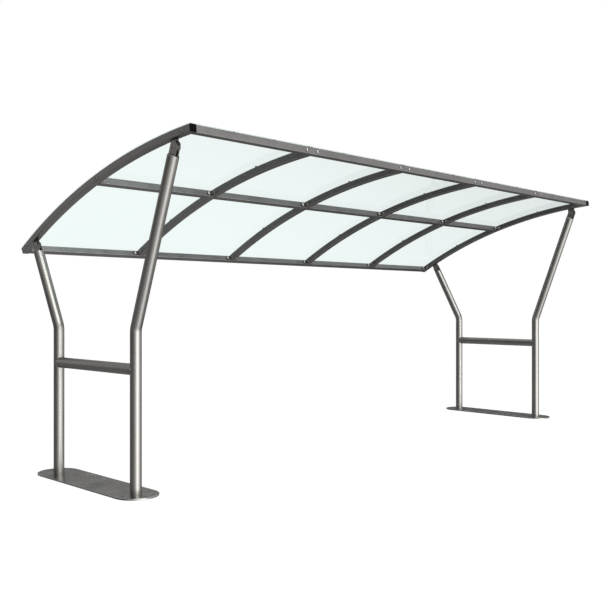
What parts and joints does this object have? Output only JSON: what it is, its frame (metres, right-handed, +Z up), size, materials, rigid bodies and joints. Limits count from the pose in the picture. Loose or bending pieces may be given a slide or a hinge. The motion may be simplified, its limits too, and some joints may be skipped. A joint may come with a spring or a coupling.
{
  "type": "open bike shelter with curved clear roof",
  "caption": "Open bike shelter: a clear curved roof on square-tube arches, held by two end frames of bent round posts with cross rails and round-ended base plates.",
  "frame": {"origin": "on the ground, under the middle of the roof", "axes": "+Z up, +X along the shelter, +Y towards the low rear edge of the roof"},
  "size_m": [5.45, 2.1243, 2.3153],
  "materials": {
    "round_tube": "satin",
    "square_tube": "matt satin",
    "base_plate": "satin",
    "brackets": "satin",
    "fixings": "bright satin",
    "clear_sheet": "clear, very pale green",
    "black_plastic": "matt black"
  },
  "bodies": {
    "root": {"arch_end_caps": "black_plastic", "base_plate_left": "base_plate", "base_plate_right": "base_plate", "cross_rail_left": "round_tube", "cross_rail_right": "round_tube", "end_arch_left": "square_tube", "end_arch_right": "square_tube", "frame_bolts": "fixings", "front_fork_left": "brackets", "front_fork_right": "brackets", "front_lug_left": "brackets", "front_lug_right": "brackets", "front_pivot_bolt_left": "fixings", "front_pivot_bolt_right": "fixings", "front_post_left": "round_tube", "front_post_right": "round_tube", "front_rail": "square_tube", "front_rail_cleats": "brackets", "low_rail": "square_tube", "low_rail_cleats": "brackets", "middle_arch_1": "square_tube", "middle_arch_2": "square_tube", "middle_arch_3": "square_tube", "middle_arch_4": "square_tube", "purlin_1": "square_tube", "purlin_2": "square_tube", "purlin_3": "square_tube", "purlin_4": "square_tube", "purlin_5": "square_tube", "purlin_cleats": "brackets", "rear_fork_left": "brackets", "rear_fork_right": "brackets", "rear_lug_left": "brackets", "rear_lug_right": "brackets", "rear_pivot_bolt_left": "fixings", "rear_pivot_bolt_right": "fixings", "rear_post_left": "round_tube", "rear_post_right": "round_tube", "roof_sheet_1": "clear_sheet", "roof_sheet_2": "clear_sheet", "roof_sheet_3": "clear_sheet", "roof_sheet_4": "clear_sheet", "roof_sheet_5": "clear_sheet", "sheet_screws": "fixings"}
  },
  "joints": []
}
